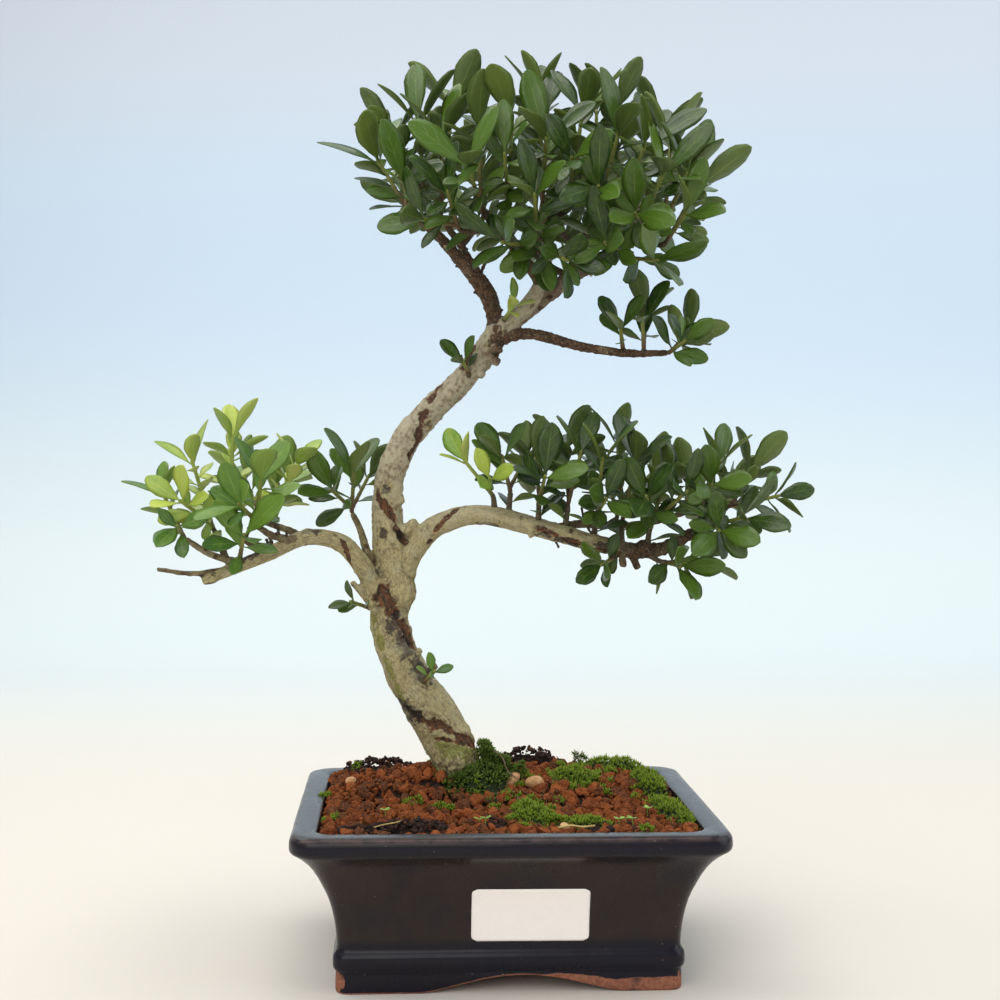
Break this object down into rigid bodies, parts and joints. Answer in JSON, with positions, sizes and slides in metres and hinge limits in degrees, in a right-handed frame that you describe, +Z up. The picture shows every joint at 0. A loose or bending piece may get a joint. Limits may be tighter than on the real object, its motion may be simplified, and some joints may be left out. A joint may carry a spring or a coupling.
{
  "type": "japanese holly bonsai",
  "caption": "Small-leaved evergreen bonsai with a curved bare trunk, a full round crown and two side pads of leaves, in a glazed rectangular pot with a mossy top.",
  "frame": {"origin": "middle of the bounding box's bottom face, on the plane that the pot stands on", "axes": "+Z up, X along the pot's long side, -Y towards the side that the tree is seen from"},
  "size_m": [0.2992, 0.1622, 0.3962],
  "materials": {
    "glaze": "gloss",
    "netting": "matte",
    "akadama": "matte",
    "soil": "matte",
    "moss": "matte",
    "bark": "matte",
    "leaf": "satin",
    "young_leaf": "satin"
  },
  "bodies": {
    "root": {"akadama": "akadama", "crown_01": "leaf", "crown_02": "leaf", "crown_03": "leaf", "crown_04": "leaf", "crown_05": "leaf", "crown_06": "leaf", "crown_07": "leaf", "crown_08": "leaf", "crown_09": "leaf", "crown_10": "leaf", "crown_11": "leaf", "crown_12": "leaf", "crown_13": "leaf", "crown_14": "leaf", "crown_15": "leaf", "crown_16": "leaf", "crown_17": "leaf", "crown_18": "leaf", "crown_19": "leaf", "crown_20": "leaf", "crown_21": "leaf", "drain_mesh_left": "netting", "drain_mesh_right": "netting", "left_01": "young_leaf", "left_02": "young_leaf", "left_03": "leaf", "left_04": "leaf", "left_05": "young_leaf", "left_06": "leaf", "left_07": "leaf", "moss_centre": "moss", "moss_collar": "moss", "moss_front": "moss", "moss_right": "moss", "pot": "glaze", "right_01": "young_leaf", "right_02": "leaf", "right_03": "leaf", "right_04": "leaf", "right_05": "leaf", "right_06": "leaf", "right_07": "leaf", "right_08": "leaf", "right_09": "leaf", "right_10": "leaf", "right_11": "leaf", "right_12": "leaf", "right_13": "leaf", "right_14": "leaf", "riser_01": "leaf", "soil": "soil", "sprout_01": "leaf", "sprout_02": "young_leaf", "sprout_03": "leaf", "sprout_04": "leaf", "trunk_and_branches": "bark", "upper_01": "leaf", "upper_02": "leaf", "upper_03": "leaf"}
  },
  "joints": []
}
